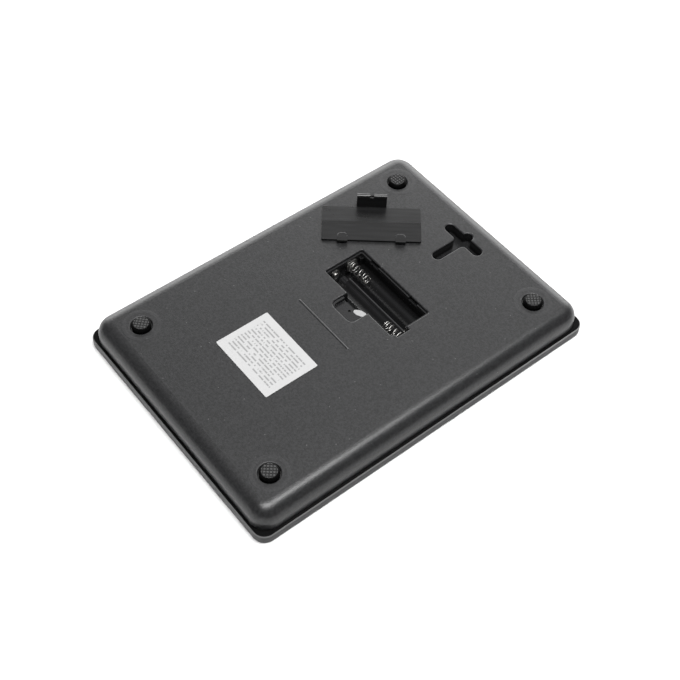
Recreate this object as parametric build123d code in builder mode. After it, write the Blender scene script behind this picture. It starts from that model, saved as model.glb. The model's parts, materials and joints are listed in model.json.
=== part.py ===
from build123d import *

import os
from math import cos, pi, radians, sin, sqrt

os.makedirs("parts", exist_ok=True)

# A small digital scale that lies face down on its glass platform, with the battery cover off.
# Millimetres. Origin: centre of the platform's outer face. +Z points out of the underside,
# +X along the long side from the display end (front) to the hanging slot (rear).

# Glass platform
glass_l = 200.0
glass_w = 144.6
glass_t = 5.0
glass_corner_r = 6.3
glass_arris = 0.5

# Battery cells that the bay takes, and what holds them
cell_d = 10.5
cell_l = 44.5
cell_gap = 0.3
cell_clear = 0.1
bay_floor_t = 0.4
bay_side = 0.15
hook_side = 1.05
spring_room = 5.5
rib_h = 3.6
rib_end_room = 4.7
bay_x = 22.5

# Base shell
overhang_x = 1.6
overhang_y = 1.8
base_round = 7.8
corner_extra = 1.8
wall = 1.8
tub_wall = 1.2
edge_r = 0.7
mould_line_x = -10.3
mould_line_y = -0.4
mould_line_l = 37.6
mould_line_w = 1.2
mould_line_h = 0.25
mould_dot_r = 0.9

# Battery cover, its hooks and its hairpin latch
cover_t = 1.2
cover_gap = 0.25
cover_lip = 0.2
hook_ledge = 0.8
end_ledge = 0.8
cover_seat = 0.1
cover_corner_r = 0.8
hook_w = 5.2
hook_spread = 29.8
hook_reach = 1.6
hook_t = 1.3
hook_sink = 0.2
hook_pad_l = 4.6
hook_pad_h = 0.5
hook_pad_corner_r = 1.8
hook_pad_r = 0.4
hook_play = 0.5
hook_lip_t = 0.9
latch_w = 15.5
latch_h = 9.3
leg_t = 0.9
leg_gap = 0.8
latch_slit = 0.2
lip_l = 2.6
lip_t = 1.0
lip_lift = 0.5
barb_z = 4.4
barb_h = 1.2
barb_reach = 0.7
barb_window_h = 2.4
bend_notch_w = 2.0
cover_rest_inset_x = 49.0
cover_rest_inset_y = 34.55
cover_rest_turn = -39.5

# Finger recess and latch slot in the base
latch_side_gap = 0.3
latch_room = 0.35
slot_floor_t = 0.9
recess_l = 8.1
recess_depth = 2.8
recess_floor_t = 1.2
recess_corner_r = 3.2
recess_step_w = 1.2
recess_step_depth = 0.9
pin_hole_d = 1.4
pin_hole_back = 2.4
dot_l = 7.0
dot_w = 3.4
dot_x = 0.8
dot_y = -4.3
dot_turn = -65.0
paper_t = 0.12

# Bay contacts
sheet_t = 0.4
plate_w = 4.6
plate_h = 6.2
spring_plate_w = 6.6
plate_corner_r = 1.2
nub_d = 3.6
nub_h = 1.1
nub_r = 0.8
tail_w = 3.0
tail_out = 1.4
tail_slit = 0.2
tail_drop = 2.8
notch_w = 7.4
notch_depth = 3.0
bridge_h = 3.2
bridge_lift = 0.15
boss_d = 2.4
boss_inset = 0.6
boss_hole_d = 0.9
boss_drop = 3.6
boss_hole_depth = 4.0

# Coil springs
coil_bend = 0.7
turn_stations = 4
gap_step = 0.5
gap_skip = 8.0
spring_wire = 0.5
spring_root_r = 2.9
spring_tip_r = 2.1
spring_l = 12.3
spring_turns = 5
touch_wire = 0.4
touch_r = 2.6
touch_turns = 2
touch_gap = 1.4

# Hanging slot
hang_inset = 17.6
hang_y = -0.3
bar_l = 25.5
bar_w = 5.3
stem_l = 20.2
stem_w = 5.4
bump_r = 2.6
bump_x = 3.0
hang_corner_r = 2.4
hang_depth = 6.2

# Feet
foot_inset_x = 18.0
foot_inset_y = 18.5
foot_hole_d = 10.6
foot_d = 9.6
foot_top_d = 7.8
foot_stand = 2.1
foot_lip = 0.5
foot_groove_w = 0.5
foot_groove_depth = 0.5
foot_groove_pitch = 1.5
foot_top_r = 0.7
plunger_flange_d = 15.0
plunger_flange_t = 1.2
plunger_d = 7.0
plunger_gap = 0.4
guide_d = 19.0
guide_t = 1.4
guide_h = 4.0

# Load cells
mount_t = 0.8
mount_w = 11.0
mount_margin = 1.5
spacer_t = 1.4
beam_t = 2.4
beam_w = 8.0
beam_l = 22.0
beam_tip = 4.0
beam_fixed_l = 9.0
beam_slot_l = 5.0
beam_slot_w = 2.6
beam_corner_r = 2.0
press_gap = 0.35
gauge_t = 0.5
gauge_l = 4.4
gauge_corner_r = 1.1
cell_screw_pitch = 4.4

# Platform frame and tape
tape_t = 0.3
tape_margin = 1.0
frame_w = 6.5
frame_t = 2.0
glue_gap = 0.05

# Display and circuit board
display_inset = 26.5
display_w = 20.0
display_l = 50.0
display_t = 2.0
display_frame_t = 3.0
display_play = 0.2
strip_w = 1.6
strip_h = 2.6
strip_margin = 1.0
board_w = 34.0
board_foot_gap = 8.3
board_t = 1.2
board_screw_inset = 4.0
post_d = 5.0
screw_d = 1.9
screw_bore_d = 2.0
screw_head_d = 3.8
screw_head_t = 1.2
screw_bite = 3.5
chip_d = 9.0
chip_h = 1.5
chip_r = 0.75
chip_x = -6.0

# Cables and leads inside the base
cable_d = 1.4
cable_bend = 2.0
cable_rise = 3.4
board_landing = 5.0
front_cable_in = 7.0
rear_cable_in = 13.0
front_cable_back = 5.0
rear_cable_back = 9.0
minus_lead_in = 20.0
plus_lead_in = 26.0
minus_lead_back = 15.0
plus_lead_back = 19.0
minus_lead_out = 8.6
plus_lead_out = 4.6
clip_x = 20.0
clip_l = 3.0
clip_t = 1.2
clip_gap = 0.15

# Label on the underside
label_l = 30.2
label_w = 40.4
label_x = -42.7
label_y = 1.7
label_corner_r = 0.6

# Heights that follow from the sizes above
base_h = bay_floor_t + cell_d + cell_clear + cover_t
back_z = glass_t + base_h
inner_z = back_z - wall
groove_r = cell_d / 2 + cell_clear
cell_axis_z = glass_t + bay_floor_t + groove_r
rib_z = glass_t + bay_floor_t + rib_h
ledge_z = back_z - cover_t - cover_seat
recess_z = back_z - recess_depth
board_under_z = glass_t + display_t + strip_h
board_top_z = board_under_z + board_t
beam_z = glass_t + mount_t + spacer_t
beam_top_z = beam_z + beam_t
plunger_top_z = inner_z - plunger_gap
cable_z = beam_z + beam_t / 2
tail_z = cell_axis_z - tail_drop
high_z = board_top_z + cable_rise

# Plan sizes that follow
base_l = glass_l - 2 * overhang_x
base_w = glass_w - 2 * overhang_y
base_corner_r = base_round + corner_extra
cell_pitch = cell_d + cell_gap
plus_x = bay_x - cell_pitch / 2
minus_x = bay_x + cell_pitch / 2
bay_x0 = plus_x - groove_r - bay_side
bay_x1 = minus_x + groove_r + hook_side
bay_half = (cell_l + spring_room) / 2
opening_x0 = bay_x0 - cover_lip
opening_x1 = bay_x1 + hook_ledge
opening_w = opening_x1 - opening_x0
opening_x = (opening_x0 + opening_x1) / 2
opening_half = bay_half + end_ledge
cover_w = opening_w - 2 * cover_gap
cover_l = 2 * (opening_half - cover_gap)
latch_depth = 2 * leg_t + leg_gap
slot_x0 = opening_x0 + cover_gap - latch_depth - latch_room
slot_half = latch_w / 2 + latch_side_gap
recess_x0 = slot_x0 - recess_l
notch_y = -bay_half - notch_depth
tub_y = opening_half + tub_wall
tub_x1 = opening_x1 + tub_wall
hang_x = base_l / 2 - hang_inset
foot_x = base_l / 2 - foot_inset_x
foot_y = base_w / 2 - foot_inset_y
display_x = -base_l / 2 + display_inset
board_l = 2 * (foot_y - board_foot_gap)
board_rear_x = display_x + board_w / 2
board_screw_x = board_w / 2 - board_screw_inset
board_screw_y = board_l / 2 - board_screw_inset
touch_y = display_l / 2 + display_frame_t + touch_gap + touch_r
landing_x = board_rear_x - board_landing
# Each corner: its sides in x and y, and the turn of the net of grooves on its foot
corners = {
    "front_1": (-1, -1, -40.0),
    "front_2": (-1, 1, -46.0),
    "rear_1": (1, -1, -36.0),
    "rear_2": (1, 1, 3.0),
}
sink = 0.01


def save(piece, node):
    """Label a finished piece and write it as its own node."""
    piece.part.label = node
    export_step(piece.part, f"parts/{node}.step")


def block(x0, x1, y0, y1, z0, z1, mode=Mode.ADD):
    """Add or cut the box between two opposite corners."""
    with Locations(((x0 + x1) / 2, (y0 + y1) / 2, (z0 + z1) / 2)):
        Box(abs(x1 - x0), abs(y1 - y0), abs(z1 - z0), mode=mode)


def biarc(start, start_dir, end, end_dir):
    """Two equal-tangent arcs from start to end that leave and arrive along the given directions."""
    chord = end - start
    both = start_dir + end_dir
    bend = 2 * (1 - start_dir.dot(end_dir))
    reach = (sqrt(chord.dot(both) ** 2 + bend * chord.dot(chord)) - chord.dot(both)) / bend
    middle = (start + end + (start_dir - end_dir) * reach) / 2
    first = TangentArc(start, middle, tangent=start_dir)
    TangentArc(middle, end, tangent=first % 1)


def coil_route(seat, root_r, tip_r, height, turns, wire, square_tip):
    """Points and directions of a coil that leaves its seat square, stands height tall and may end square."""
    rise = wire + coil_bend
    coil_h = height - rise - (rise if square_tip else wire / 2)
    first_angle = coil_bend / root_r
    up = Vector(0, 0, 1)
    route = [(Vector(root_r, 0, 0), up), (Vector(root_r, 0, wire), up)]
    steps = turn_stations * turns
    for k in range(steps + 1):
        share = k / steps
        angle = first_angle + 2 * pi * turns * share
        r = root_r + (tip_r - root_r) * share
        outward = Vector(cos(angle), sin(angle), 0)
        around = Vector(-sin(angle), cos(angle), 0)
        heading = around * (2 * pi * turns * r) + outward * (tip_r - root_r) + up * coil_h
        route.append((outward * r + up * (rise + coil_h * share), heading.normalized()))
    if square_tip:
        last_angle = 2 * first_angle + 2 * pi * turns
        head = Vector(tip_r * cos(last_angle), tip_r * sin(last_angle), height)
        route += [(head - up * wire, up), (head, up)]
    else:
        end, heading = route[-1]
        route.append((end + heading * wire, heading))
    return [(seat.from_local_coords(p), seat.from_local_coords(d) - seat.origin) for p, d in route]


def wind(route):
    """Straight ends with arcs between all the stations of a coil."""
    Line(route[0][0], route[1][0])
    for (start, start_dir), (end, end_dir) in zip(route[1:-2], route[2:-1]):
        biarc(start, start_dir, end, end_dir)
    Line(route[-2][0], route[-1][0])


def least_gap(path, wire):
    """Least clear distance between two stretches of one wire, measured on points along it."""
    count = round(path.length / (gap_step * wire))
    points = [path @ (k / count) for k in range(count + 1)]
    apart = round(gap_skip / gap_step)
    return min((p - q).length for k, p in enumerate(points) for q in points[k + apart:]) - wire


def cable_route(points):
    """Straight runs joined by tangent arcs of one bend radius."""
    FilletPolyline(*points, radius=cable_bend)


# Glass platform
with BuildPart() as glass_platform:
    with BuildSketch():
        RectangleRounded(glass_l, glass_w, glass_corner_r)
    extrude(amount=glass_t)
    chamfer(glass_platform.edges().filter_by(Plane.XY), length=glass_arris)
save(glass_platform, "glass_platform")

# Frame that holds the base to the glass, and its tape
frame_l = base_l - 2 * (wall + glue_gap)
frame_b = base_w - 2 * (wall + glue_gap)
frame_r = base_corner_r - wall - glue_gap

with BuildPart() as platform_tape:
    with BuildSketch(Plane.XY.offset(glass_t)):
        RectangleRounded(frame_l - 2 * tape_margin, frame_b - 2 * tape_margin, frame_r - tape_margin)
        Rectangle(
            frame_l - 2 * (frame_w - tape_margin), frame_b - 2 * (frame_w - tape_margin), mode=Mode.SUBTRACT
        )
    extrude(amount=tape_t)
save(platform_tape, "platform_tape")

with BuildPart() as platform_frame:
    with BuildSketch(Plane.XY.offset(glass_t + tape_t)):
        RectangleRounded(frame_l, frame_b, frame_r)
        Rectangle(frame_l - 2 * frame_w, frame_b - 2 * frame_w, mode=Mode.SUBTRACT)
    extrude(amount=frame_t)
save(platform_frame, "platform_frame")

# Hollow of the base shell
with BuildPart() as base_hollow:
    with BuildSketch(Plane.XY.offset(glass_t)):
        RectangleRounded(base_l - 2 * wall, base_w - 2 * wall, base_corner_r - wall)
    extrude(amount=base_h - wall)
    fillet(base_hollow.faces().sort_by(Axis.Z)[-1].edges(), radius=base_round - wall)

# Base shell
with BuildPart() as base_shell:
    with BuildSketch(Plane.XY.offset(glass_t)):
        RectangleRounded(base_l, base_w, base_corner_r)
    extrude(amount=base_h)
    fillet(base_shell.faces().sort_by(Axis.Z)[-1].edges(), radius=base_round)
    add(base_hollow.part, mode=Mode.SUBTRACT)

    # Walls inside: round the bay, the latch slot and the recess
    block(bay_x0 - tub_wall, tub_x1, -tub_y, tub_y, glass_t, inner_z + sink)
    block(slot_x0 - tub_wall, bay_x0, -slot_half - tub_wall, slot_half + tub_wall, glass_t, inner_z + sink)
    recess_under_z = recess_z - recess_floor_t
    block(recess_x0 - tub_wall, slot_x0, -slot_half - tub_wall, slot_half + tub_wall,
          recess_under_z, inner_z + sink)
    notch_x0, notch_x1 = plus_x - notch_w / 2, plus_x + notch_w / 2
    block(notch_x0 - tub_wall, notch_x1 + tub_wall, notch_y - tub_wall, -bay_half, glass_t, inner_z + sink)

    # Guide rings of the feet, posts of the circuit board, pocket of the hanging slot, cable clips
    with BuildSketch(Plane.XY.offset(inner_z + sink)):
        with GridLocations(2 * foot_x, 2 * foot_y, 2, 2):
            Circle(guide_d / 2)
            Circle(guide_d / 2 - guide_t, mode=Mode.SUBTRACT)
    extrude(amount=-guide_h)
    with BuildSketch(Plane.XY.offset(board_top_z)):
        with Locations((display_x, 0)):
            with GridLocations(2 * board_screw_x, 2 * board_screw_y, 2, 2):
                Circle(post_d / 2)
                Circle(screw_bore_d / 2, mode=Mode.SUBTRACT)
    extrude(amount=inner_z - board_top_z + sink)
    hang_under_z = back_z - hang_depth - tub_wall
    bar_half, stem_half = bar_l / 2 + tub_wall, stem_w / 2 + tub_wall
    block(hang_x - bar_w / 2 - tub_wall, hang_x + bump_x + bump_r + tub_wall,
          hang_y - bar_half, hang_y + bar_half, hang_under_z, inner_z + sink)
    block(hang_x - stem_l - tub_wall, hang_x, hang_y - stem_half, hang_y + stem_half,
          hang_under_z, inner_z + sink)
    clip_inner = cable_d / 2 + clip_gap
    for side in (-1, 1):
        for x in (-clip_x, clip_x):
            for flank in (-1, 1):
                rib_y = side * foot_y + flank * (clip_inner + clip_t / 2)
                block(x - clip_l / 2, x + clip_l / 2, rib_y - clip_t / 2, rib_y + clip_t / 2,
                      cable_z - cable_d / 2, inner_z + sink)

    # Battery bay: mouth with its ledge, room for the cells, round cradles, spring notch
    with BuildSketch(Plane.XY.offset(back_z)):
        with Locations((opening_x, 0)):
            RectangleRounded(opening_w, 2 * opening_half, cover_corner_r)
    extrude(amount=ledge_z - back_z, mode=Mode.SUBTRACT)
    block(bay_x0, bay_x1, -bay_half, bay_half, rib_z, back_z, Mode.SUBTRACT)
    with Locations(*[Location((x, 0, cell_axis_z), (90, 0, 0)) for x in (plus_x, minus_x)]):
        Cylinder(groove_r, 2 * bay_half, mode=Mode.SUBTRACT)
    block(plus_x, minus_x, bay_half - rib_end_room, bay_half, glass_t + slot_floor_t, rib_z, Mode.SUBTRACT)
    block(notch_x0, notch_x1, notch_y, -bay_half, cell_axis_z - notch_w / 2, back_z, Mode.SUBTRACT)

    # Finger recess with a step along its far side, latch slot, window for the latch's barb, pin hole
    for step_w, depth in ((0, recess_step_depth), (recess_step_w, recess_depth)):
        with BuildSketch(Plane.XY.offset(back_z)):
            with Locations(((recess_x0 + plus_x) / 2, -step_w / 2)):
                RectangleRounded(plus_x - recess_x0, 2 * slot_half - step_w, recess_corner_r)
        extrude(amount=-depth, mode=Mode.SUBTRACT)
    block(slot_x0, bay_x0, -slot_half, slot_half, glass_t + slot_floor_t, back_z, Mode.SUBTRACT)
    barb_top_z = back_z - barb_z
    block(slot_x0 - tub_wall, slot_x0, -slot_half + recess_corner_r, slot_half - recess_corner_r,
          barb_top_z - barb_window_h, recess_under_z, Mode.SUBTRACT)
    with Locations((slot_x0 - pin_hole_back, 0, recess_z)):
        Hole(pin_hole_d / 2, depth=recess_floor_t)

    # Slots that the cover's hooks go into, slits for the contact tails, corner boss
    hook_under_z = back_z - cover_t - hook_t - hook_play
    for y in (-hook_spread / 2, hook_spread / 2):
        hook_y0, hook_y1 = y - hook_w / 2 - hook_play, y + hook_w / 2 + hook_play
        block(bay_x1, opening_x1, hook_y0, hook_y1, hook_under_z, ledge_z, Mode.SUBTRACT)
        block(opening_x1 - sink, opening_x1 + hook_reach + hook_play, hook_y0, hook_y1, hook_under_z,
              back_z - hook_lip_t, Mode.SUBTRACT)
    for x in (plus_x, minus_x):
        block(x - tail_w / 2 - tail_slit, x + tail_w / 2 + tail_slit, bay_half, tub_y,
              tail_z - sheet_t / 2 - tail_slit, tail_z + sheet_t / 2 + tail_slit, Mode.SUBTRACT)
    boss_z = back_z - boss_drop
    with Locations((bay_x1 - boss_inset, bay_half - boss_inset, (rib_z + boss_z) / 2)):
        Cylinder(boss_d / 2, boss_z - rib_z)
    with Locations((bay_x1 - boss_inset, bay_half - boss_inset, boss_z)):
        Hole(boss_hole_d / 2, depth=boss_hole_depth)

    # Hanging slot and the holes of the feet
    with BuildSketch(Plane.XY.offset(back_z)) as hang_outline:
        with Locations((hang_x, hang_y)):
            SlotOverall(bar_l, bar_w, rotation=90)
        with Locations((hang_x - stem_l / 2, hang_y)):
            SlotOverall(stem_l, stem_w)
        with Locations((hang_x - bar_w / 2, hang_y)):
            Rectangle(bar_w, stem_w)
        with Locations((hang_x + bump_x, hang_y)):
            Circle(bump_r)
        inner_corners = [
            v for v in hang_outline.vertices()
            if abs(v.X - hang_x + bar_w / 2) < sink and abs(abs(v.Y - hang_y) - stem_w / 2) < sink
        ]
        fillet(inner_corners, radius=hang_corner_r)
    extrude(amount=-hang_depth, mode=Mode.SUBTRACT)
    with BuildSketch(Plane.XY.offset(back_z)):
        with GridLocations(2 * foot_x, 2 * foot_y, 2, 2):
            Circle(foot_hole_d / 2)
    extrude(amount=-wall, mode=Mode.SUBTRACT)

    # Rounded mouths, then the raised mould line, low and round, with a dot at each end
    mouths = base_shell.faces().sort_by(Axis.Z)[-1].inner_wires()
    fillet([e for mouth in mouths for e in mouth.edges()], radius=edge_r)
    with BuildSketch(Plane((mould_line_x, mould_line_y, back_z), x_dir=(1, 0, 0), z_dir=(0, -1, 0))):
        with BuildLine():
            ridge = ThreePointArc((-mould_line_w / 2, -sink), (0, mould_line_h), (mould_line_w / 2, -sink))
            Line(ridge @ 1, ridge @ 0)
        make_face()
    extrude(amount=mould_line_l / 2, both=True)
    dot_z = back_z + mould_line_h - mould_dot_r
    with Locations((mould_line_x, mould_line_y, dot_z)):
        with GridLocations(1, mould_line_l, 1, 2):
            Sphere(mould_dot_r)
save(base_shell, "base_shell")

# Label and the small white dot in the recess
with BuildPart() as rating_label:
    with BuildSketch(Plane.XY.offset(back_z)):
        with Locations((label_x, label_y)):
            RectangleRounded(label_l, label_w, label_corner_r)
    extrude(amount=paper_t)
save(rating_label, "rating_label")

with BuildPart() as recess_dot:
    with BuildSketch(Plane.XY.offset(recess_z)):
        with Locations((slot_x0 + dot_x, dot_y)):
            Ellipse(dot_l / 2, dot_w / 2, rotation=dot_turn)
    extrude(amount=paper_t)
save(recess_dot, "recess_dot")

# Battery cover, lying on the underside with its inner face up
cover_plane = Plane(
    origin=(base_l / 2 - cover_rest_inset_x, base_w / 2 - cover_rest_inset_y, back_z),
    x_dir=(cos(radians(cover_rest_turn)), sin(radians(cover_rest_turn)), 0),
    z_dir=(0, 0, 1),
)


def cover_side(x):
    """Plane square to the cover's long side at x, with its own x across the cover towards the latch."""
    return Plane(
        origin=cover_plane.from_local_coords(Vector(x, 0, 0)),
        x_dir=cover_plane.y_dir,
        z_dir=cover_plane.x_dir,
    )


bend_r = latch_depth / 2
bend_v = latch_h - bend_r
leg_u = cover_w / 2


def half_bend(side):
    """Half of the hairpin's bend in the current sketch: side -1 next to the cover, +1 outside the slit."""
    with Locations((leg_u + bend_r, bend_v)):
        Circle(bend_r)
        Circle(leg_gap / 2, mode=Mode.SUBTRACT)
    with Locations((leg_u + bend_r, bend_v - bend_r / 2)):
        Rectangle(2 * bend_r, bend_r, mode=Mode.SUBTRACT)
    with Locations((leg_u + bend_r - side * (bend_r - latch_slit / 2), bend_v)):
        Rectangle(2 * bend_r, 2 * bend_r, mode=Mode.SUBTRACT)


def cut_bend_notch():
    """Notch in the middle of the hairpin's bend."""
    with Locations(cover_plane.location * Location((0, leg_u + bend_r, latch_h))):
        Box(bend_notch_w, 2 * latch_depth, 2 * bend_r, mode=Mode.SUBTRACT)


with BuildPart() as battery_cover:
    with BuildSketch(cover_plane):
        RectangleRounded(cover_l, cover_w, cover_corner_r)
    extrude(amount=cover_t)
    hook_edge = -cover_w / 2
    with BuildSketch(cover_plane.offset(cover_t)):
        with Locations((0, hook_edge + hook_pad_l / 2)):
            with GridLocations(hook_spread, 1, 2, 1):
                RectangleRounded(hook_w, hook_pad_l, hook_pad_corner_r)
    extrude(amount=hook_pad_h)
    pad_tops = battery_cover.faces().sort_by(Axis.Z)[-2:]
    fillet(pad_tops.edges(), radius=hook_pad_r)
    for x in (-hook_spread / 2, hook_spread / 2):
        with BuildSketch(cover_side(x - hook_w / 2)):
            with Locations((hook_edge, cover_t - hook_sink)):
                Rectangle(2 * hook_reach, hook_t, align=(Align.CENTER, Align.MIN))
        extrude(amount=hook_w)
    with BuildSketch(cover_side(-latch_w / 2)):
        half_bend(-1)
        with Locations((leg_u, 0)):
            Rectangle(leg_t, bend_v, align=(Align.MIN, Align.MIN))
    extrude(amount=latch_w)
    cut_bend_notch()
save(battery_cover, "battery_cover")

with BuildPart() as cover_latch:
    outer_u = leg_u + latch_depth
    with BuildSketch(cover_side(-latch_w / 2)):
        half_bend(1)
        with Locations((outer_u, lip_lift)):
            Rectangle(leg_t, bend_v - lip_lift, align=(Align.MAX, Align.MIN))
            Rectangle(lip_l, lip_t, align=(Align.MIN, Align.MIN))
        Polygon((outer_u, barb_z), (outer_u + barb_reach, barb_z), (outer_u, barb_z + barb_h), align=None)
    extrude(amount=latch_w)
    cut_bend_notch()
save(cover_latch, "cover_latch")

# Feet, plungers and load cells, one set at each corner
for corner, (sx, sy, turn) in corners.items():
    fx, fy = sx * foot_x, sy * foot_y

    with BuildPart() as foot_pad:
        with BuildSketch(Plane((fx, fy, plunger_top_z))):
            Circle(foot_d / 2)
        extrude(amount=back_z + foot_lip - plunger_top_z)
        with BuildSketch(Plane((fx, fy, back_z + foot_lip))):
            Circle(foot_d / 2)
        with BuildSketch(Plane((fx, fy, back_z + foot_stand))):
            Circle(foot_top_d / 2)
        loft()
        fillet(foot_pad.edges().sort_by(Axis.Z)[-1], radius=foot_top_r)
        groove_count = 2 * int(foot_top_d / 2 / foot_groove_pitch) + 1
        for groove_turn in (turn, turn + 90):
            with Locations(Location((fx, fy, back_z + foot_stand), (0, 0, groove_turn))):
                with GridLocations(foot_groove_pitch, foot_groove_pitch, groove_count, 1):
                    Box(foot_groove_w, foot_d, 2 * foot_groove_depth, mode=Mode.SUBTRACT)
    save(foot_pad, f"foot_pad_{corner}")

    with BuildPart() as foot_plunger:
        with BuildSketch(Plane((fx, fy, plunger_top_z))):
            Circle(plunger_flange_d / 2)
        extrude(amount=-plunger_flange_t)
        with BuildSketch(Plane((fx, fy, beam_top_z + press_gap))):
            Circle(plunger_d / 2)
        extrude(amount=plunger_top_z - plunger_flange_t - beam_top_z - press_gap)
    save(foot_plunger, f"foot_plunger_{corner}")

    tip_x, end_x = sx * (foot_x + beam_tip), sx * (foot_x - beam_l)
    fixed_x = sx * (foot_x - beam_l + beam_fixed_l)
    slot_x = (sx * (foot_x - plunger_d / 2) + fixed_x) / 2
    screw_mid_x = end_x + sx * beam_fixed_l / 2
    screw_x = [screw_mid_x - cell_screw_pitch / 2, screw_mid_x + cell_screw_pitch / 2]

    with BuildPart() as load_cell_mount:
        block(tip_x + sx * mount_margin, end_x - sx * mount_margin, fy - mount_w / 2, fy + mount_w / 2,
              glass_t, glass_t + mount_t)
        block(fixed_x, end_x, fy - beam_w / 2, fy + beam_w / 2, glass_t + mount_t, beam_z)
        with Locations(*[(x, fy, beam_z) for x in screw_x]):
            Hole(screw_bore_d / 2, depth=spacer_t)
    save(load_cell_mount, f"load_cell_mount_{corner}")

    with BuildPart() as load_cell:
        block(tip_x, end_x, fy - beam_w / 2, fy + beam_w / 2, beam_z, beam_top_z)
        fillet(load_cell.edges().filter_by(Axis.Z), radius=beam_corner_r)
        with Locations((slot_x, fy, beam_top_z)):
            Box(beam_slot_l, beam_slot_w, 2 * beam_t, mode=Mode.SUBTRACT)
        with Locations(*[(x, fy, beam_top_z) for x in screw_x]):
            Hole(screw_bore_d / 2, depth=beam_t)
    save(load_cell, f"load_cell_{corner}")

    with BuildPart() as load_cell_gauge:
        with BuildSketch(Plane((slot_x, fy, beam_top_z))):
            RectangleRounded(gauge_l, beam_w - mount_margin, gauge_corner_r)
        extrude(amount=gauge_t)
    save(load_cell_gauge, f"load_cell_gauge_{corner}")

    with BuildPart() as load_cell_screws:
        for x in screw_x:
            with BuildSketch(Plane((x, fy, beam_top_z))):
                Circle(screw_head_d / 2)
            extrude(amount=screw_head_t)
            with BuildSketch(Plane((x, fy, beam_top_z))):
                Circle(screw_d / 2)
            extrude(amount=-(beam_t + spacer_t))
    save(load_cell_screws, f"load_cell_screws_{corner}")

    cable_y = sy * (board_screw_y - (front_cable_in if sx < 0 else rear_cable_in))
    turn_x = board_rear_x + (front_cable_back if sx < 0 else rear_cable_back)
    with BuildPart() as load_cell_cable:
        with BuildLine() as route:
            cable_route(
                [
                    (end_x, fy, cable_z),
                    (turn_x, fy, cable_z),
                    (turn_x, cable_y, cable_z),
                    (turn_x, cable_y, high_z),
                    (landing_x, cable_y, high_z),
                    (landing_x, cable_y, board_top_z),
                ]
            )
        with BuildSketch(Plane(route.line @ 0, z_dir=route.line % 0)):
            Circle(cable_d / 2)
        sweep()
    save(load_cell_cable, f"load_cell_cable_{corner}")

# Contacts at the far end of the bay: a plate with a pressed nub for one cell, a spring plate for the other
with BuildPart() as plus_contact:
    plus_plane = Plane((plus_x, bay_half, cell_axis_z), x_dir=(1, 0, 0), z_dir=(0, -1, 0))
    with BuildSketch(plus_plane):
        RectangleRounded(plate_w, plate_h, plate_corner_r)
    extrude(amount=sheet_t)
    with BuildSketch(plus_plane.offset(sheet_t)):
        Circle(nub_d / 2)
    extrude(amount=nub_h)
    fillet(plus_contact.edges().sort_by(Axis.Y)[0], radius=nub_r)
    block(plus_x - tail_w / 2, plus_x + tail_w / 2, bay_half - sheet_t, tub_y + tail_out,
          tail_z - sheet_t / 2, tail_z + sheet_t / 2)
save(plus_contact, "plus_contact")

with BuildPart() as minus_contact:
    with BuildSketch(Plane((minus_x, bay_half, cell_axis_z), x_dir=(1, 0, 0), z_dir=(0, -1, 0))):
        RectangleRounded(spring_plate_w, spring_plate_w, plate_corner_r)
    extrude(amount=sheet_t)
    block(minus_x - tail_w / 2, minus_x + tail_w / 2, bay_half - sheet_t, tub_y + tail_out,
          tail_z - sheet_t / 2, tail_z + sheet_t / 2)
save(minus_contact, "minus_contact")

# Bridge at the near end: a strip bent from the spring notch round to the other cell
with BuildPart() as bridge_contact:
    strip_y = notch_y + sheet_t / 2
    near_y = -bay_half + sheet_t / 2
    step_x = notch_x1 - sheet_t / 2
    with BuildSketch(Plane.XY.offset(rib_z + bridge_lift)):
        with BuildLine():
            strip = Polyline(
                (notch_x0, strip_y),
                (step_x, strip_y),
                (step_x, near_y),
                (minus_x + spring_plate_w / 2, near_y),
            )
        trace(strip, line_width=sheet_t)
    extrude(amount=bridge_h)
save(bridge_contact, "bridge_contact")

# Battery springs: a square root on the plate, then a coil that narrows to its tip
springs = {
    "minus_spring": Plane((minus_x, bay_half - sheet_t, cell_axis_z), x_dir=(1, 0, 0), z_dir=(0, -1, 0)),
    "bridge_spring": Plane((plus_x, notch_y + sheet_t, cell_axis_z), x_dir=(1, 0, 0), z_dir=(0, 1, 0)),
}
for node, seat in springs.items():
    with BuildPart() as spring:
        with BuildLine() as coil:
            wind(coil_route(seat, spring_root_r, spring_tip_r, spring_l, spring_turns, spring_wire, False))
        with BuildSketch(Plane(coil.line @ 0, z_dir=coil.line % 0)):
            Circle(spring_wire / 2)
        sweep()
    print(node, "least gap between turns", round(least_gap(coil.wire(), spring_wire), 2))
    save(spring, node)

# Display: panel against the glass, frame round it, contact strips up to the board
with BuildPart() as display_panel:
    with BuildSketch(Plane.XY.offset(glass_t)):
        with Locations((display_x, 0)):
            Rectangle(display_w, display_l)
    extrude(amount=display_t)
save(display_panel, "display_panel")

with BuildPart() as display_frame:
    with BuildSketch(Plane.XY.offset(glass_t)):
        with Locations((display_x, 0)):
            Rectangle(display_w + 2 * display_frame_t, display_l + 2 * display_frame_t)
            Rectangle(display_w + 2 * display_play, display_l + 2 * display_play, mode=Mode.SUBTRACT)
    extrude(amount=board_under_z - glass_t)
save(display_frame, "display_frame")

with BuildPart() as contact_strips:
    strip_spread = display_w - 2 * strip_margin - strip_w
    with BuildSketch(Plane.XY.offset(glass_t + display_t)):
        with Locations((display_x, 0)):
            with GridLocations(strip_spread, 1, 2, 1):
                Rectangle(strip_w, display_l - 2 * strip_margin)
    extrude(amount=strip_h)
save(contact_strips, "contact_strips")

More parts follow.
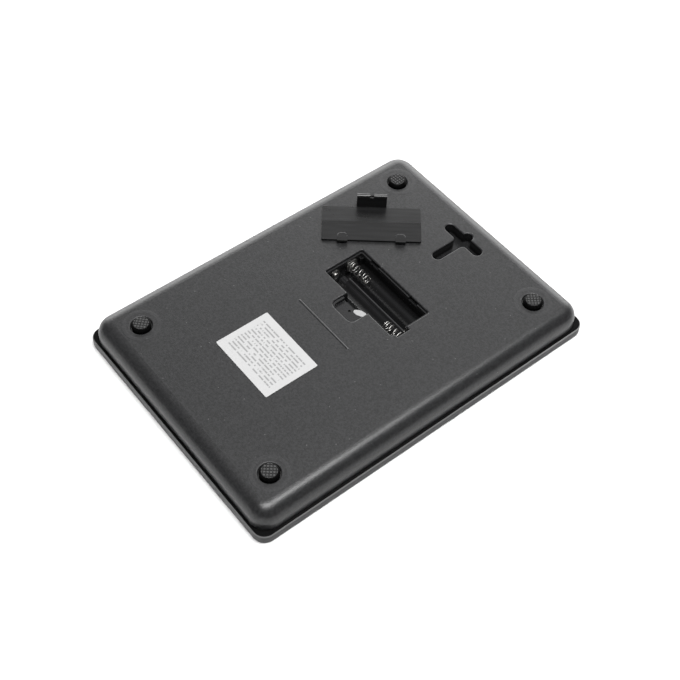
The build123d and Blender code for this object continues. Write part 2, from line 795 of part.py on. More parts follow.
# Circuit board with its controller and screws
with BuildPart() as circuit_board:
    with BuildSketch(Plane.XY.offset(board_under_z)):
        with Locations((display_x, 0)):
            Rectangle(board_w, board_l)
            with GridLocations(2 * board_screw_x, 2 * board_screw_y, 2, 2):
                Circle(screw_bore_d / 2, mode=Mode.SUBTRACT)
    extrude(amount=board_t)
save(circuit_board, "circuit_board")

with BuildPart() as controller_chip:
    with BuildSketch(Plane((display_x + chip_x, 0, board_top_z))):
        Circle(chip_d / 2)
    extrude(amount=chip_h)
    fillet(controller_chip.edges().sort_by(Axis.Z)[-1], radius=chip_r)
save(controller_chip, "controller_chip")

with BuildPart() as board_screws:
    for x in (-board_screw_x, board_screw_x):
        for y in (-board_screw_y, board_screw_y):
            with BuildSketch(Plane((display_x + x, y, board_under_z))):
                Circle(screw_head_d / 2)
            extrude(amount=-screw_head_t)
            with BuildSketch(Plane((display_x + x, y, board_under_z))):
                Circle(screw_d / 2)
            extrude(amount=board_t + screw_bite)
save(board_screws, "board_screws")

# Touch springs between the board and the glass, square at both ends
for node, y in {"touch_spring_1": -touch_y, "touch_spring_2": touch_y}.items():
    with BuildPart() as touch_spring:
        with BuildLine() as coil:
            touch_seat = Plane((display_x, y, glass_t))
            touch_h = board_under_z - glass_t
            wind(coil_route(touch_seat, touch_r, touch_r, touch_h, touch_turns, touch_wire, True))
        with BuildSketch(Plane(coil.line @ 0, z_dir=coil.line % 0)):
            Circle(touch_wire / 2)
        sweep()
    print(node, "least gap between turns", round(least_gap(coil.wire(), touch_wire), 2))
    save(touch_spring, node)

# Battery leads from the contact tails to the board
leads = {
    "plus_lead": (plus_x, plus_lead_out, plus_lead_back, board_screw_y - plus_lead_in),
    "minus_lead": (minus_x, minus_lead_out, minus_lead_back, board_screw_y - minus_lead_in),
}
for node, (tail_x, out, back, lead_y) in leads.items():
    tail_y = tub_y + tail_out
    turn_x = board_rear_x + back
    climb_x = board_rear_x + rear_cable_back
    with BuildPart() as battery_lead:
        with BuildLine() as route:
            cable_route(
                [
                    (tail_x, tail_y, tail_z),
                    (tail_x, tail_y + out, tail_z),
                    (turn_x, tail_y + out, tail_z),
                    (turn_x, lead_y, tail_z),
                    (climb_x, lead_y, tail_z),
                    (climb_x, lead_y, high_z),
                    (landing_x, lead_y, high_z),
                    (landing_x, lead_y, board_top_z),
                ]
            )
        with BuildSketch(Plane(route.line @ 0, z_dir=route.line % 0)):
            Circle(cable_d / 2)
        sweep()
    save(battery_lead, node)
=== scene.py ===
import json
from math import pi, radians

import bpy
import numpy as np
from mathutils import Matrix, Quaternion, Vector


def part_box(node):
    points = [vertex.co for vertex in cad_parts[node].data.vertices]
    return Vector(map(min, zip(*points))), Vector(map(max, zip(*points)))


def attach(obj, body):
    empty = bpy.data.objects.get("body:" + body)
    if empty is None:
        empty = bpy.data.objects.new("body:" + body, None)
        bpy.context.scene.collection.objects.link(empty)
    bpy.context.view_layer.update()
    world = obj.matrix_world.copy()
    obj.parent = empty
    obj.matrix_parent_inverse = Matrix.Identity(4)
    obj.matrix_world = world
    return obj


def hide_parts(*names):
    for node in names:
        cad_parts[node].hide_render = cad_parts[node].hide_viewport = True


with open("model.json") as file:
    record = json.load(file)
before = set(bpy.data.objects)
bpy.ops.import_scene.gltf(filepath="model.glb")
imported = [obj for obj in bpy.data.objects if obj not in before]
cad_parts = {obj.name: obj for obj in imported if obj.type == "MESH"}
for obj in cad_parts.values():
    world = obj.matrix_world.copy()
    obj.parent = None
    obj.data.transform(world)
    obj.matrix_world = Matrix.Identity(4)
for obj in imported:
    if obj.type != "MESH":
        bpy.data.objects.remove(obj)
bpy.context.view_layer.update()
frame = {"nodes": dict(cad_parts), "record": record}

# A small digital scale lying face down on its glass, underside up. Metres, in the frame of the solids.
MM = 0.001
corners = ["front_1", "front_2", "rear_1", "rear_2"]
nodes = frame["nodes"]


def span(node):
    """Low and high corners of a solid's box, in millimetres."""
    return [np.array(corner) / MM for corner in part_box(node)]


def middle(node):
    """Centre of a solid's box, in millimetres."""
    low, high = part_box(node)
    return (low + high) / 2 / MM


# Places that the finishes need, read from the solids and from the record, in millimetres
glass_low, glass_high = (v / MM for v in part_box("glass_platform"))
label_low, label_high = (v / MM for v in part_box("rating_label"))
screen_low, screen_high = (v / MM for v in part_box("display_panel"))
back_z = label_low.z
recess_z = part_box("recess_dot")[0].z / MM
foot_mid = middle("foot_pad_rear_2")
foot_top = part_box("foot_pad_rear_2")[1].z / MM
bay_mid = (middle("plus_contact") + middle("minus_contact")) / 2
cradle_pitch = middle("minus_contact").x - middle("plus_contact").x
touch_keys = [middle(node) for node in ("touch_spring_1", "touch_spring_2")]
openings = {opening["name"]: opening["box_m"] for opening in frame["record"]["physics"]["openings"]}
slot_x, _, slot_z = (v / MM for v in openings["hanging_slot_stem"][0])

# The loose cover: the line of its latch's bend, and the way across the cover towards it
latch_joint = next(j for j in frame["record"]["behaviour"]["joints"] if j["name"] == "latch_squeeze")
bend_x, bend_y = (v / MM for v in latch_joint["pos_m"][:2])
across_x, across_y = latch_joint["axis"][1], -latch_joint["axis"][0]


class Wire:
    """A value in a shader. Arithmetic on it adds Math nodes to its finish."""

    def __init__(self, finish, socket):
        self.finish = finish
        self.socket = socket

    def math(self, operation, *values):
        return self.finish.node("ShaderNodeMath", {"operation": operation}, dict(enumerate(values)))["Value"]

    def __add__(self, other):
        return self.math("ADD", self, other)

    def __radd__(self, other):
        return self.math("ADD", other, self)

    def __sub__(self, other):
        return self.math("SUBTRACT", self, other)

    def __rsub__(self, other):
        return self.math("SUBTRACT", other, self)

    def __mul__(self, other):
        return self.math("MULTIPLY", self, other)

    def __rmul__(self, other):
        return self.math("MULTIPLY", other, self)

    def __truediv__(self, other):
        return self.math("DIVIDE", self, other)

    def __rtruediv__(self, other):
        return self.math("DIVIDE", other, self)

    def __pow__(self, other):
        return self.math("POWER", self, other)

    def __rpow__(self, other):
        return self.math("POWER", other, self)

    def __mod__(self, other):
        return self.math("FLOORED_MODULO", self, other)

    def __rmod__(self, other):
        return self.math("FLOORED_MODULO", other, self)

    def __abs__(self):
        return self.math("ABSOLUTE", self)

    def least(self, other):
        return self.math("MINIMUM", self, other)

    def most(self, other):
        return self.math("MAXIMUM", self, other)


class Finish:
    """One material, built round a Principled shader."""

    def __init__(self, name):
        self.material = bpy.data.materials.new(name)
        self.material.use_nodes = True
        self.tree = self.material.node_tree
        self.tree.nodes.clear()

    def node(self, kind, settings=None, sockets=None):
        """Add a node, set its settings, then fill its sockets with numbers or wires.
        Returns its outputs by name."""
        made = self.tree.nodes.new(kind)
        for key, value in (settings or {}).items():
            setattr(made, key, value)
        inputs = {s.name: s for s in made.inputs if s.enabled}
        for key, value in (sockets or {}).items():
            socket = made.inputs[key] if isinstance(key, int) else inputs[key]
            if isinstance(value, Wire):
                self.tree.links.new(value.socket, socket)
            else:
                socket.default_value = value
        return {s.name: Wire(self, s) for s in made.outputs if s.enabled}

    def spot(self):
        """Object coordinates as one vector, in metres."""
        return self.node("ShaderNodeTexCoord")["Object"]

    def place(self):
        """Object coordinates as x, y and z in millimetres."""
        parts = self.node("ShaderNodeSeparateXYZ", None, {"Vector": self.spot()})
        return [parts[axis] / MM for axis in "XYZ"]

    def vector(self, x, y, z=0.0):
        """Coordinates in metres from values in millimetres."""
        return self.node("ShaderNodeCombineXYZ", None, {"X": x * MM, "Y": y * MM, "Z": z * MM})["Vector"]

    def noise(self, size, detail=2.0, roughness=0.5, stretch=(1.0, 1.0, 1.0), spot=None):
        """Noise whose features are about size millimetres across, from 0 to 1."""
        spot = spot or self.spot()
        spot = self.node("ShaderNodeVectorMath", {"operation": "MULTIPLY"}, {0: spot, 1: stretch})["Vector"]
        sockets = {"Vector": spot, "Scale": 1 / (size * MM), "Detail": detail, "Roughness": roughness}
        return self.node("ShaderNodeTexNoise", None, sockets)["Fac"]

    def cells(self, size):
        """Distance to the nearest of random points that lie about size millimetres apart, in cell widths."""
        sockets = {"Vector": self.spot(), "Scale": 1 / (size * MM)}
        return self.node("ShaderNodeTexVoronoi", None, sockets)["Distance"]

    def rise(self, value, low, high, start=0.0, end=1.0):
        """Smooth step from start to end as value goes from low to high."""
        sockets = {"Value": value, "From Min": low, "From Max": high, "To Min": start, "To Max": end}
        return self.node("ShaderNodeMapRange", {"interpolation_type": "SMOOTHSTEP"}, sockets)["Result"]

    def over(self, value, limit, soft):
        """Smooth step from 0 to 1 as value passes limit, over soft on each side of it."""
        return self.rise(value, limit - soft, limit + soft)

    def under(self, value, limit, soft):
        """Smooth step from 1 to 0 as value passes limit, over soft on each side of it."""
        return self.rise(value, limit - soft, limit + soft, 1.0, 0.0)

    def between(self, value, low, high, soft):
        """One between low and high, falling smoothly to nought over soft on each side."""
        return self.over(value, low, soft) * self.under(value, high, soft)

    def blend(self, share, first, second):
        """Colour that goes from first to second as share goes from 0 to 1."""
        sockets = {"Factor": share, "A": first, "B": second}
        return self.node("ShaderNodeMix", {"data_type": "RGBA"}, sockets)["Result"]

    def bump(self, height, depth, below=None):
        """Normal of a relief whose height runs from 0 to 1 over depth millimetres, on a coarser one below."""
        sockets = {"Height": height, "Distance": depth * MM, "Strength": 1.0}
        if below is not None:
            sockets["Normal"] = below
        return self.node("ShaderNodeBump", None, sockets)["Normal"]

    def shade(self, **sockets):
        """Principled shader with these sockets, as the material's surface."""
        sockets = {key.replace("_", " "): value for key, value in sockets.items()}
        surface = self.node("ShaderNodeBsdfPrincipled", None, sockets)["BSDF"]
        self.node("ShaderNodeOutputMaterial", None, {"Surface": surface})
        return self.material


def grey(level, tint=(1.0, 1.0, 1.0)):
    """Colour of one brightness with a slight tint."""
    return tuple(level * t for t in tint) + (1.0,)


def reach(x, y, spot):
    """Distance in plan from a spot."""
    off_x, off_y = x - spot.x, y - spot.y
    return (off_x * off_x + off_y * off_y) ** 0.5


# Finishes
cool = (0.985, 0.99, 1.03)
screen_green = (0.95, 1.05, 0.9)


def shell_finish():
    """Grained grey plastic: spark-eroded grain outside, faint sink rings at the feet, a smooth recess, and
    painted shade inside that darkens with depth, with painted light along each cradle, a painted highlight on
    the rib and painted light on the slot floor."""
    skin_depth, side_share = 0.45, 0.89
    ring_in, ring_out, hole_rim = 7.6, 9.4, 6.05
    bay_half, bay_drop, rib_half = 12.8, 3.75, 0.8
    light_band_from, light_band_to = 8.6, 10.0
    recess_depth, full_tone = 2.0, 1.5
    f = Finish("grained_shell")
    x, y, z = f.place()
    share = (abs(x) / glass_high.x).most(abs(y) / glass_high.y)
    outside = f.over(z, back_z - skin_depth, 0.15).most(f.over(share, side_share, 0.01))
    grain = f.noise(0.42, 3.0, 0.6)
    coarse = f.rise(f.noise(1.1, 3.0, 0.6), 0.3, 0.7)
    cloud = f.noise(24, 3.0)
    from_foot = reach(abs(x), abs(y), foot_mid)
    ring = f.between(from_foot, ring_in, ring_out, 0.35) * outside
    rim = f.under(from_foot, hole_rim, 0.15)
    speck = f.under(f.cells(5.5), 0.0425, 0.0075) * outside
    tone = 0.42 + 0.16 * cloud + 0.3 * grain + 0.7 * coarse + 0.3 * ring
    skin = f.blend(tone.least(full_tone) / full_tone, grey(0.0), grey(0.0275, cool))
    from_rib = x - bay_mid.x
    bay = f.under(abs(from_rib), bay_half, 0.2) * f.under(z, recess_z - bay_drop, 0.25)
    # Painted light: a paler band along the flank of each cradle stands in for light falling on it.
    dust_and_painted_light = f.between(from_rib % cradle_pitch, light_band_from, light_band_to, 1.1)
    # Painted highlight: the rib between the cradles is painted paler along its top.
    rib = f.under(abs(from_rib), rib_half, 0.2)
    # Painted light: the slot floor is painted paler, as if lit through the slot.
    slot_floor_light = f.over(x, slot_x - 0.5, 0.5) * f.under(z, slot_z + 0.3, 0.3)
    # Painted shade: the plastic inside is painted darker than the outside, and darker with depth below the
    # recess floor.
    hollow_shade_and_light = f.blend(f.rise(z, recess_z - recess_depth, recess_z), grey(0.006, cool), grey(0.016, cool))
    # In the bay: painted shade darker still, with the painted light band along each cradle and the rib's
    # painted highlight.
    hollow_shade_and_light = f.blend(bay, hollow_shade_and_light, f.blend(dust_and_painted_light.most(rib), grey(0.005, cool), grey(0.02, cool)))
    hollow_shade_and_light = f.blend(slot_floor_light, hollow_shade_and_light, grey(0.015, cool))
    colour = f.blend(outside, hollow_shade_and_light, skin)
    colour = f.blend(speck * 0.35, colour, grey(0.3))
    relief = f.bump(grain, 0.05, f.bump(coarse, 0.02, f.bump(ring, 0.03)))
    return f.shade(
        Base_Color=colour,
        Roughness=0.16 + outside * (0.14 + 0.06 * grain) + 0.15 * rim,
        Normal=relief,
        Specular_IOR_Level=0.5,
    )


def glass_finish():
    """Thick glass with a satin black print on its back and a ground edge, with painted light on the edge,
    paler low down and at the -x end, and a painted highlight along the arris that is paler towards the rear.
    The polished outer face shows the display's window and a ring at each touch key."""
    arris_w, front_w, edge_from = 0.5, 1.3, 0.4
    key_in, key_out = 5.0, 5.4
    f = Finish("printed_glass")
    x, y, z = f.place()
    face = f.over(z, glass_high.z - 0.02, 0.01)
    streak = f.noise(0.5, 3.0, 0.6, (0.12, 0.12, 1.0))
    # Painted light: the ground edge is painted paler low down, as if lit by the floor, and darker towards the
    # top.
    edge = f.blend(f.rise(z, edge_from, glass_high.z - arris_w), grey(0.085), grey(0.048))
    edge = f.blend(streak * 0.5, edge, grey(0.1))
    # Painted light: the edge face at the -x end is painted paler.
    edge = f.blend(0.5 * f.under(x, glass_low.x + front_w, 0.5), edge, grey(0.14))
    # Painted highlight: the arris is painted as a pale line, paler towards the rear.
    arris = f.blend(f.rise(x, 0.0, glass_high.x), grey(0.15), grey(0.22))
    edge = f.blend(f.over(z, glass_high.z - arris_w + 0.01, 0.03), edge, arris)
    colour = f.blend(face, edge, grey(0.003))
    outer = f.under(z, 0.035, 0.015)
    window = f.between(x, screen_low.x, screen_high.x, 0.1) * f.between(y, screen_low.y, screen_high.y, 0.1)
    colour = f.blend(outer, colour, f.blend(window, grey(0.004), grey(0.2, screen_green)))
    for key in touch_keys:
        ring = f.between(reach(x, y, key), key_in, key_out, 0.08)
        colour = f.blend(ring * outer, colour, grey(0.5))
    smudge = f.noise(18, 4.0)
    return f.shade(
        Base_Color=colour,
        Coat_Weight=outer,
        Roughness=0.3 + 0.1 * smudge,
        Normal=f.bump(streak, 0.01),
        Specular_IOR_Level=0.06,
    )


def cover_finish():
    """Smooth moulded plastic with fine flow lines, polished towards the hooks and satin towards the latch."""
    satin_edge = -11.6
    f = Finish("moulded_cover")
    x, y, z = f.place()
    across = (x - bend_x) * across_x + (y - bend_y) * across_y
    along = (x - bend_x) * across_y - (y - bend_y) * across_x
    satin = f.over(across, satin_edge, 0.6)
    flow = f.noise(1.2, 3.0, 0.6, (0.06, 1.0, 1.0), f.vector(along, across, z))
    haze = f.noise(9.0, 4.0, 0.6)
    fine = f.noise(0.25, 2.0)
    colour = f.blend(satin * 0.1 + 0.5 * f.rise(flow, 0.3, 0.7), grey(0.003, cool), grey(0.016, cool))
    return f.shade(
        Base_Color=colour,
        Roughness=0.14 + 0.11 * satin + 0.06 * haze,
        Normal=f.bump(fine, 0.004, f.bump(flow, 0.01)),
    )


def rubber_finish():
    """Soft black rubber, dusty on the faces that touch the table."""
    crown_r, block_depth = 3.775, 0.2
    f = Finish("foot_rubber")
    x, y, z = f.place()
    grain = f.noise(0.22, 3.0, 0.6)
    crown = f.under(reach(abs(x), abs(y), foot_mid), crown_r, 0.125)
    block = f.over(z, foot_top - block_depth, 0.08)
    dust_and_painted_light = crown * (0.45 + 0.55 * block) * (0.6 + 0.4 * f.noise(1.3, 3.0))
    colour = f.blend(dust_and_painted_light, grey(0.001), grey(0.086))
    return f.shade(
        Base_Color=colour,
        Roughness=0.4 + 0.2 * grain,
        Normal=f.bump(grain, 0.02),
        Specular_IOR_Level=0.08,
    )


def plated_finish(name="plated_steel", level=0.52):
    """Bright nickel plate, slightly uneven, with drawing marks."""
    f = Finish(name)
    haze = f.noise(0.9, 4.0, 0.6)
    marks = f.noise(0.16, 2.0)
    colour = f.blend(haze, grey(level * 0.72, (1.0, 0.98, 0.94)), grey(level * 1.2, (1.0, 0.99, 0.96)))
    return f.shade(
        Base_Color=colour, Metallic=1.0, Roughness=0.26 + 0.16 * haze, Normal=f.bump(marks, 0.006)
    )


def label_finish():
    """White coated paper with rows of grey dashes where a label has its print, and no words."""
    row_pitch, dash_from, dash_to, margin = 1.9, 0.55, 1.35, 3.45
    f = Finish("label_paper")
    x, y = f.place()[:2]
    fibre = f.noise(0.35, 4.0, 0.65)
    cloud = f.noise(6.0, 3.0)
    in_x = (x - label_low.x).least(label_high.x - x)
    in_y = (y - label_low.y).least(label_high.y - y)
    row = (x - label_low.x) % row_pitch
    word = f.rise(f.noise(1.6, 1.0, 0.5, (3.0, 1.0, 1.0), f.vector(x - row, y)), 0.42, 0.47)
    dash = f.between(row, dash_from, dash_to, 0.12) * word * f.over(in_x.least(in_y), margin, 0.05)
    paper = f.blend(0.5 * fibre + 0.5 * cloud, grey(0.42), grey(0.48))
    colour = f.blend(dash * 0.6, paper, grey(0.12))
    return f.shade(Base_Color=colour, Roughness=0.46 + 0.1 * fibre, Normal=f.bump(fibre, 0.008))


def dot_finish():
    """Blank white sticker."""
    f = Finish("sticker_paper")
    fibre = f.noise(0.3, 4.0, 0.65)
    colour = f.blend(fibre, grey(0.32), grey(0.38))
    return f.shade(Base_Color=colour, Roughness=0.4 + 0.1 * fibre, Normal=f.bump(fibre, 0.006))


def moulded_finish(name, low, high, roughness):
    """Plain moulded or sheathed plastic with slight mottling and a fine surface."""
    f = Finish(name)
    cloud = f.noise(5.0, 3.0)
    grain = f.noise(0.3, 3.0, 0.6)
    colour = f.blend(cloud, low, high)
    return f.shade(Base_Color=colour, Roughness=roughness + 0.12 * grain, Normal=f.bump(grain, 0.015))


def milled_finish(name, level, stretch):
    """Bare metal with cutter marks along one way."""
    f = Finish(name)
    marks = f.noise(0.4, 4.0, 0.7, stretch)
    haze = f.noise(4.0, 3.0)
    colour = f.blend(haze, grey(level * 0.85), grey(level * 1.1))
    return f.shade(Base_Color=colour, Metallic=1.0, Roughness=0.28 + 0.2 * marks, Normal=f.bump(marks, 0.012))


def laminate_finish():
    """Circuit board: green mask over copper tracks."""
    track_pitch, track_from, track_to = 2.5, 0.8, 1.4
    f = Finish("board_laminate")
    x = f.place()[0]
    weave = f.noise(0.5, 2.0, 0.5, (1.0, 0.2, 1.0))
    drawn = f.over(f.noise(9.0, 1.0), 0.52, 0.02)
    track = f.between((x + 0.6 * weave) % track_pitch, track_from, track_to, 0.08) * drawn
    colour = f.blend(weave * 0.4, grey(0.05, (0.3, 1.6, 0.7)), grey(0.08, (0.3, 1.5, 0.7)))
    colour = f.blend(track * 0.6, colour, grey(0.14, (0.5, 1.5, 0.6)))
    return f.shade(
        Base_Color=colour,
        Coat_Weight=0.2,
        Roughness=0.3 + 0.1 * weave,
        Normal=f.bump(track, 0.02),
    )


def display_finish():
    """Liquid crystal panel: grey-green glass with faint empty digits' fields."""
    digit_pitch, digit_gap = 12.0, 1.2
    f = Finish("display_glass")
    y = f.place()[1]
    field = f.between(y % digit_pitch, digit_gap, digit_pitch - digit_gap, 0.1)
    haze = f.noise(7.0, 3.0)
    colour = f.blend(field * (0.7 + 0.3 * haze), grey(0.2, screen_green), grey(0.27, (0.95, 1.06, 0.88)))
    return f.shade(Base_Color=colour, Roughness=0.08 + 0.06 * haze, IOR=1.52)


def striped_finish():
    """Contact strip: thin dark and pale layers of rubber side by side."""
    layer_pitch, layer_from, layer_to = 0.5, 0.1, 0.3
    f = Finish("striped_rubber")
    y = f.place()[1]
    layer = f.between(y % layer_pitch, layer_from, layer_to, 0.03)
    grain = f.noise(0.3, 2.0)
    colour = f.blend(layer, grey(0.02), grey(0.28, (1.0, 0.8, 0.85)))
    return f.shade(Base_Color=colour, Roughness=0.6 + 0.15 * grain, Normal=f.bump(grain, 0.01))


dark_inner = moulded_finish("inner_plastic", grey(0.05), grey(0.07), 0.45)
plated = plated_finish()
contact_steel = plated_finish("contact_steel", 0.4)
screw_steel = plated_finish("screw_steel", 0.45)
cell_alloy = milled_finish("cell_alloy", 0.6, (0.08, 1.0, 1.0))
sealant = moulded_finish("gauge_sealant", grey(0.62), grey(0.72), 0.5)
cable_sheath = moulded_finish("cell_cable", grey(0.45), grey(0.55), 0.4)
cover_plastic = cover_finish()
rubber = rubber_finish()
finishes = {
    "base_shell": shell_finish(),
    "glass_platform": glass_finish(),
    "battery_cover": cover_plastic,
    "cover_latch": cover_plastic,
    "rating_label": label_finish(),
    "recess_dot": dot_finish(),
    "plus_contact": contact_steel,
    "minus_contact": contact_steel,
    "bridge_contact": contact_steel,
    "platform_tape": moulded_finish("tape_foam", grey(0.5), grey(0.62), 0.7),
    "platform_frame": dark_inner,
    "display_panel": display_finish(),
    "display_frame": dark_inner,
    "contact_strips": striped_finish(),
    "circuit_board": laminate_finish(),
    "controller_chip": moulded_finish("chip_resin", grey(0.008), grey(0.014), 0.2),
    "board_screws": screw_steel,
    "plus_lead": moulded_finish("red_lead", grey(0.4, (1.0, 0.06, 0.05)), grey(0.5, (1.0, 0.07, 0.06)), 0.4),
    "minus_lead": moulded_finish("black_lead", grey(0.015), grey(0.022), 0.4),
}
for corner in corners:
    finishes[f"foot_plunger_{corner}"] = dark_inner
    finishes[f"load_cell_mount_{corner}"] = dark_inner
    finishes[f"load_cell_{corner}"] = cell_alloy
    finishes[f"load_cell_gauge_{corner}"] = sealant
    finishes[f"load_cell_screws_{corner}"] = screw_steel
    finishes[f"load_cell_cable_{corner}"] = cable_sheath
for node, finish in finishes.items():
    nodes[node].data.materials.clear()
    nodes[node].data.materials.append(finish)


# Pieces that stand for the coil springs and the rubber feet
def surface(name, points, faces, finish):
    """Object at the origin, made from points in millimetres and faces, shaded smooth."""
    mesh = bpy.data.meshes.new(name)
    mesh.from_pydata((points * MM).tolist(), [], faces)
    mesh.polygons.foreach_set("use_smooth", np.ones(len(mesh.polygons), dtype=bool))
    mesh.materials.append(finish)
    made = bpy.data.objects.new(name, mesh)
    bpy.context.scene.collection.objects.link(made)
    return made


def closed_faces(rings, sides):
    """Quads between rings of points, wound so that they face outward, with a fan to one point at each end."""
    ring = np.arange(rings - 1)[:, None] * sides
    side = np.arange(sides)[None, :]
    after = (side + 1) % sides
    quads = np.stack([ring + side, ring + after, ring + sides + after, ring + sides + side], axis=-1) + 1
    last = (rings - 1) * sides
    first_pole, last_pole = np.zeros_like(side), np.full_like(side, rings * sides + 1)
    first_fan = np.stack([first_pole, after + 1, side + 1], axis=-1)
    last_fan = np.stack([last_pole, last + side + 1, last + after + 1], axis=-1)
    fans = np.concatenate([first_fan.reshape(-1, 3), last_fan.reshape(-1, 3)])
    return quads.reshape(-1, 4).tolist() + fans.tolist()


def spring(name, node, root, along, turns, wire, root_r, tip_r, length, closing):
    """Coil spring. Its middle line, for s from 0 to 1 and a = 2 pi turns s, is
    root + along (wire / 2 + (length - wire) (s - closing sin(2 pi s) / (2 pi)))
    + r (across cos a + third sin a), where r goes evenly from root_r to tip_r.
    The surface is a tube of the wire's size round that line."""
    steps, sides = 64 * turns, 14
    s = np.linspace(0.0, 1.0, steps)[:, None]
    across = np.array([1.0, 0.0, 0.0])
    third = np.cross(along, across)
    angle = 2 * pi * turns * s
    outward = across * np.cos(angle) + third * np.sin(angle)
    rise = wire / 2 + (length - wire) * (s - closing * np.sin(2 * pi * s) / (2 * pi))
    line = root + along * rise + outward * (root_r + (tip_r - root_r) * s)
    heading = np.gradient(line, axis=0)
    heading /= np.linalg.norm(heading, axis=1, keepdims=True)
    normal = outward - heading * np.sum(outward * heading, axis=1, keepdims=True)
    normal /= np.linalg.norm(normal, axis=1, keepdims=True)
    other = np.cross(heading, normal)
    t = np.linspace(0.0, 2 * pi, sides, endpoint=False)[None, :, None]
    rings = line[:, None, :] + wire / 2 * (normal[:, None, :] * np.cos(t) + other[:, None, :] * np.sin(t))
    points = np.concatenate([line[:1], rings.reshape(-1, 3), line[-1:]])
    made = surface(name, points, closed_faces(steps, sides), plated)
    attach(made, "scale")
    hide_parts(node)


def rubber_foot(corner, turn, finish):
    """Rubber foot. Its side, from the underside up, is the line of radius R(v) and height Z(v), which rises
    straight, leans in and rounds over to the top. On the top, Z drops by groove_depth wherever a point turned
    by -turn lies within half of groove_w of a line of a square net of groove_pitch, with soft edges."""
    low, high = span(f"foot_pad_{corner}")
    mid, outer_r, height = (low + high) / 2, (high[0] - low[0]) / 2, high[2] - low[2]
    top_r, round_r, bevel, lip_h = 3.6, 0.25, 0.1, height - 1.6
    groove_w, groove_depth, groove_pitch, soft = 0.4, 0.5, 1.5, 0.12
    sides, side_rings, round_rings, top_rings = 240, 10, 8, 44
    bend = np.linspace(0.0, pi / 2, round_rings)
    share = np.linspace(0.0, 1.0, side_rings)
    radius = np.concatenate([
        [outer_r / 2, outer_r - bevel, outer_r],
        outer_r + (top_r + round_r - outer_r) * share,
        top_r + round_r * np.cos(bend),
        top_r * np.linspace(1.0, 0.0, top_rings, endpoint=False)[1:],
    ])
    level = np.concatenate([
        [0.0, 0.0, bevel],
        lip_h + (height - round_r - lip_h) * share,
        height - round_r + round_r * np.sin(bend),
        np.full(top_rings - 1, height),
    ])
    theta = np.linspace(0.0, 2 * pi, sides, endpoint=False)
    x, y = radius[:, None] * np.cos(theta), radius[:, None] * np.sin(theta)
    turned = [x * np.cos(turn) + y * np.sin(turn), y * np.cos(turn) - x * np.sin(turn)]
    away = [np.abs((v + groove_pitch / 2) % groove_pitch - groove_pitch / 2) for v in turned]
    edge = np.clip((np.minimum(*away) - groove_w / 2 + soft) / (2 * soft), 0.0, 1.0)
    near_top = np.clip((level[:, None] - height + groove_depth) / groove_depth, 0, 1)
    cut = (1 - edge * edge * (3 - 2 * edge)) * near_top
    z = level[:, None] - groove_depth * cut
    rings = np.stack([x, y, z], axis=-1) + [mid[0], mid[1], low[2]]
    bottom = np.array([[mid[0], mid[1], low[2]]])
    crown = np.array([[mid[0], mid[1], high[2] - groove_depth]])
    points = np.concatenate([bottom, rings.reshape(-1, 3), crown])
    made = surface(f"rubber_foot_{corner}", points, closed_faces(len(radius), sides), finish)
    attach(made, f"foot_{corner}")
    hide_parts(f"foot_pad_{corner}")


def battery_spring(name, node, contact, tip_way):
    """Spring of the battery bay, with its root and its axis at the middle of the contact's plate."""
    low, high = span(node)
    axis = middle(contact)
    root = np.array([axis.x, high[1] if tip_way < 0 else low[1], axis.z])
    spring(
        name, node, root, along=np.array([0.0, tip_way, 0.0]),
        turns=6, wire=0.5, root_r=2.8, tip_r=2.1, length=high[1] - low[1], closing=0.6,
    )


def touch_coil(name, node):
    """Short even spring between the circuit board and the glass."""
    low, high = span(node)
    mid = (low + high) / 2
    spring(
        name, node, np.array([mid[0], mid[1], low[2]]), along=np.array([0.0, 0.0, 1.0]),
        turns=3, wire=0.4, root_r=2.6, tip_r=2.6, length=high[2] - low[2], closing=0.5,
    )


battery_spring("minus_coil", "minus_spring", "minus_contact", -1.0)
battery_spring("bridge_coil", "bridge_spring", "plus_contact", 1.0)
touch_coil("touch_coil_1", "touch_spring_1")
touch_coil("touch_coil_2", "touch_spring_2")
foot_turns = (-40, -46, -36, 3)
for corner, turn in zip(corners, foot_turns):
    rubber_foot(corner, radians(turn), rubber)


# Stage: pale floor, soft light, camera
def floor_finish():
    """Plain white studio floor."""
    f = Finish("studio_floor")
    mottle = f.noise(40.0, 2.0)
    colour = f.blend(mottle, grey(0.88), grey(0.9))
    return f.shade(Base_Color=colour, Roughness=0.9)


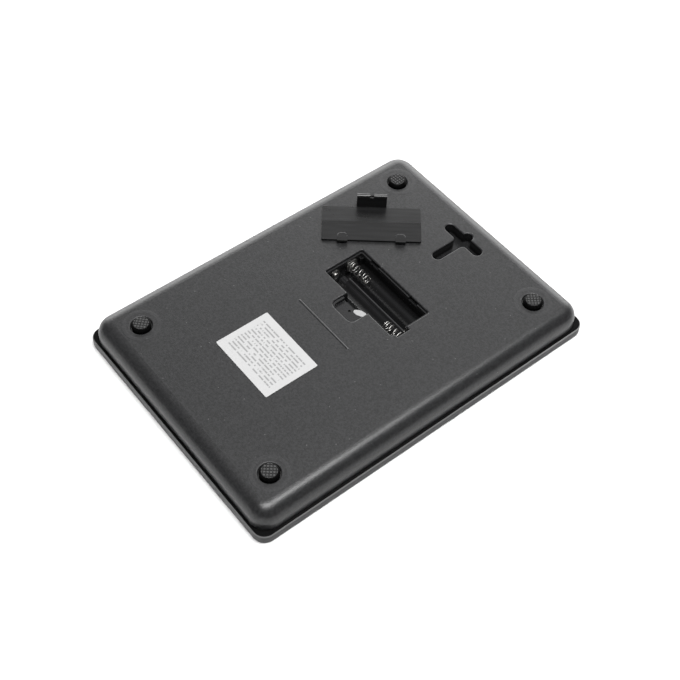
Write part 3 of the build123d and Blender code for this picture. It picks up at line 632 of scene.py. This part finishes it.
def floor(half, drop):
    """Square floor: four corners at plus and minus half, just under the glass."""
    mesh = bpy.data.meshes.new("floor")
    spots = [(-half, -half, -drop), (half, -half, -drop), (half, half, -drop), (-half, half, -drop)]
    mesh.from_pydata(spots, [], [(0, 1, 2, 3)])
    made = bpy.data.objects.new("floor", mesh)
    bpy.context.scene.collection.objects.link(made)
    mesh.materials.append(floor_finish())


def soft_light(name, place, aim, size, power):
    """Rectangular light at place that faces aim."""
    light = bpy.data.lights.new(name, "AREA")
    light.shape = "RECTANGLE"
    light.size, light.size_y = size
    light.energy = power
    made = bpy.data.objects.new(name, light)
    made.location = place
    made.rotation_euler = (Vector(aim) - Vector(place)).to_track_quat("-Z", "Y").to_euler()
    bpy.context.scene.collection.objects.link(made)


def room_light(strength):
    """Even white light from all round."""
    world = bpy.data.worlds.new("studio")
    world.use_nodes = True
    background = world.node_tree.nodes["Background"]
    background.inputs["Color"].default_value = (1.0, 1.0, 1.0, 1.0)
    background.inputs["Strength"].default_value = strength
    bpy.context.scene.world = world


def camera(place, aim, roll, lens, sensor):
    """Camera at place that looks at aim and is rolled about its own axis."""
    made = bpy.data.objects.new("camera", bpy.data.cameras.new("camera"))
    made.data.lens = lens
    made.data.sensor_width = sensor
    made.location = place
    made.rotation_mode = "QUATERNION"
    upright = (Vector(aim) - Vector(place)).to_track_quat("-Z", "Y")
    made.rotation_quaternion = upright @ Quaternion((0, 0, 1), radians(roll))
    bpy.context.scene.collection.objects.link(made)
    bpy.context.scene.camera = made


floor(half=6.0, drop=0.0002)
soft_light("overhead", place=(-0.02, -0.17, 1.2), aim=(0, 0, 0), size=(0.95, 0.4), power=20)
soft_light("backdrop_low", place=(0.96, 1.15, 0.5), aim=(0, 0, 0.5), size=(3.2, 1.0), power=40)
soft_light("backdrop_high", place=(1.32, 0.7, 2.1), aim=(0, 0, 2.1), size=(3.2, 2.2), power=15)
room_light(strength=0.105)
bpy.context.scene.view_settings.view_transform = "Standard"
camera(
    place=(-0.23738, -0.28340, 0.47697),
    aim=(-0.001348, -0.002769, 0.0),
    roll=2.2087,
    lens=64.122,
    sensor=36.0,
)
